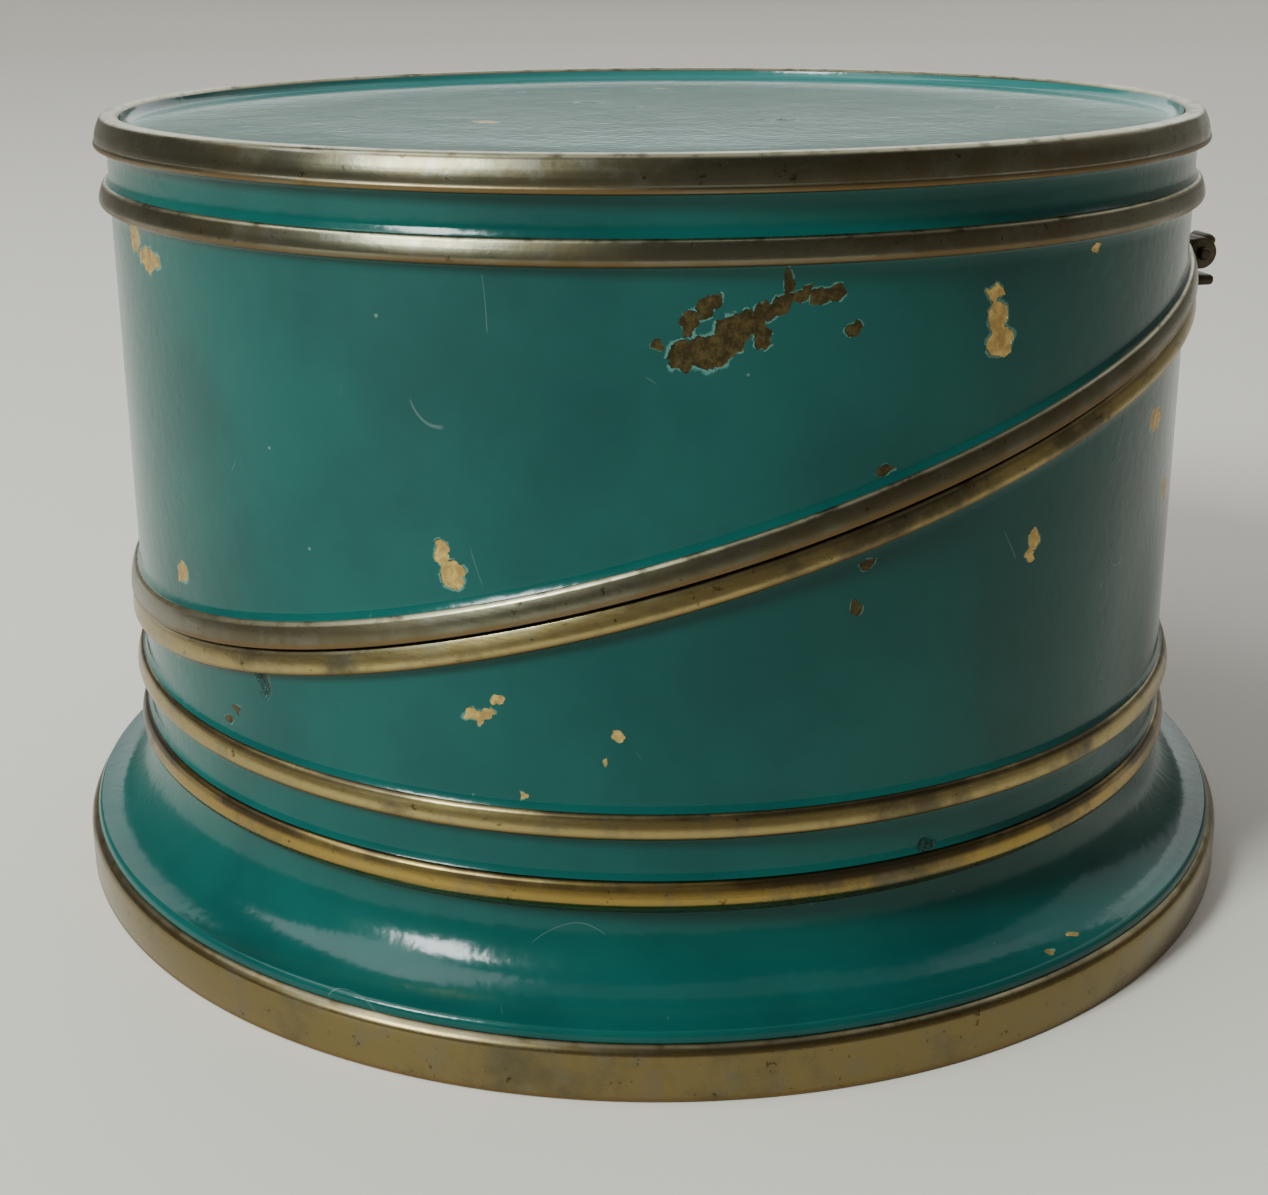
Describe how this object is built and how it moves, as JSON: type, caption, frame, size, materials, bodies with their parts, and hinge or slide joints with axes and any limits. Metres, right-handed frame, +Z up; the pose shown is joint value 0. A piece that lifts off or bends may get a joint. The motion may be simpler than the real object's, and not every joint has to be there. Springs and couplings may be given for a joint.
{
  "type": "tea caddy",
  "caption": "Round footed tea caddy in green enamelled brass, with bead trim and a lid that opens on a rear hinge along a slanting cut.",
  "frame": {"origin": "centre of the resting face, at the middle of the foot's bottom", "axes": "+Z up along the drum's axis, +Y towards the hinge at the rear, -Y towards the front, where the slanting cut is lowest and the lid lifts, hinge pin along X"},
  "size_m": [0.11, 0.11, 0.0689],
  "materials": {
    "enamel": "glossy deep teal-green enamel over brass sheet, chipped in places",
    "brass": "aged brass, satin, tarnished brown-grey with worn pale crests",
    "hinge_metal": "darkened brass",
    "tin": "dull tinned sheet"
  },
  "bodies": {
    "body": {"foot_band": "brass", "foot_skirt": "enamel", "foot_plate": "brass", "neck_ring": "brass", "body_drum": "enamel", "waist_bead": "brass", "body_edge_bead": "brass", "drum_floor": "brass", "tea_liner": "tin", "body_hinge_leaf": "hinge_metal", "body_rivet_1": "hinge_metal", "body_rivet_2": "hinge_metal", "hinge_pin": "hinge_metal"},
    "lid": {"lid_drum": "enamel", "shoulder_bead": "brass", "lid_edge_bead": "brass", "lid_rim": "brass", "lid_panel": "enamel", "lid_hinge_leaf": "hinge_metal", "lid_rivet_1": "hinge_metal", "lid_rivet_2": "hinge_metal"}
  },
  "joints": [
    {"name": "lid_hinge", "type": "hinge", "parent": "body", "child": "lid", "pos_m": [0, 0.0514, 0.0541], "axis": [-1, 0, 0], "range_deg": [0, 100]}
  ]
}
